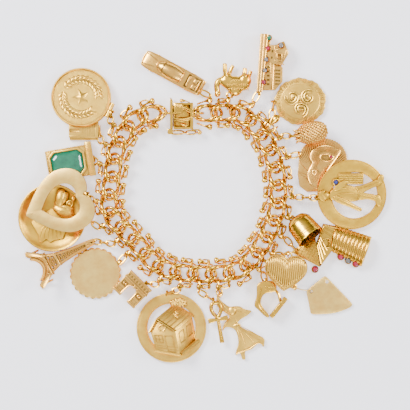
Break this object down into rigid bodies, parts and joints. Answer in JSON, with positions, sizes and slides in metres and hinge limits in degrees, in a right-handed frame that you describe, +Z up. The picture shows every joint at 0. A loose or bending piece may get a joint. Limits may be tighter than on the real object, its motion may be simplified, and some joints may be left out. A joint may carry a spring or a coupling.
{
  "type": "charm bracelet",
  "caption": "Gold curb-chain charm bracelet lying closed in a loop, with beaded edges, a box clasp with a safety catch, and figural charms on jump rings.",
  "frame": {"origin": "middle of the bracelet's box, on the surface it lies on", "axes": "+Z up from the surface, +Y from the middle towards the clasp's side, +X to the right as seen from above with the clasp at the top"},
  "size_m": [0.129, 0.115, 0.0119],
  "materials": {
    "polished_gold": "polished yellow gold",
    "brushed_gold": "brushed yellow gold",
    "satin_gold": "satin gold, slightly rosy",
    "green_stone": "polished step-cut green stone"
  },
  "bodies": {
    "bracelet": {"link_01": "polished_gold", "link_02": "polished_gold", "link_03": "polished_gold", "link_04": "polished_gold", "link_05": "polished_gold", "link_06": "polished_gold", "link_07": "polished_gold", "link_08": "polished_gold", "link_09": "polished_gold", "link_10": "polished_gold", "link_11": "polished_gold", "link_12": "polished_gold", "link_13": "polished_gold", "link_14": "polished_gold", "link_15": "polished_gold", "link_16": "polished_gold", "link_17": "polished_gold", "link_18": "polished_gold", "link_19": "polished_gold", "link_20": "polished_gold", "link_21": "polished_gold", "link_22": "polished_gold", "link_23": "polished_gold", "link_24": "polished_gold", "link_25": "polished_gold", "link_26": "polished_gold", "link_27": "polished_gold", "link_28": "polished_gold", "edge_strand_inner": "polished_gold", "edge_strand_outer": "polished_gold", "clasp_box": "polished_gold", "clasp_tongue": "polished_gold", "emerald_frame": "polished_gold", "emerald_stone": "green_stone", "coin": "brushed_gold", "ribbed_case": "satin_gold", "heart_frame": "satin_gold", "dish": "brushed_gold", "lattice_tower": "polished_gold", "scalloped_disc": "satin_gold", "gate_arch": "polished_gold", "cottage_disc": "satin_gold", "ankh": "polished_gold", "dancer": "satin_gold", "stirrup": "polished_gold", "ribbed_heart": "polished_gold", "kite_tag": "satin_gold", "wagon": "polished_gold", "thimble_cup": "satin_gold", "figure_ring": "brushed_gold", "shell": "satin_gold", "pine_cone": "polished_gold", "bud": "polished_gold", "medallion": "satin_gold", "town_hall": "polished_gold", "camel": "polished_gold", "car": "satin_gold"},
    "catch": {"safety_catch": "polished_gold"}
  },
  "joints": [
    {"name": "catch_hinge", "type": "hinge", "parent": "bracelet", "child": "catch", "pos_m": [-0.01161, 0.02306, 0.00317], "axis": [0, 0, -1], "range_deg": [0, 115]}
  ]
}
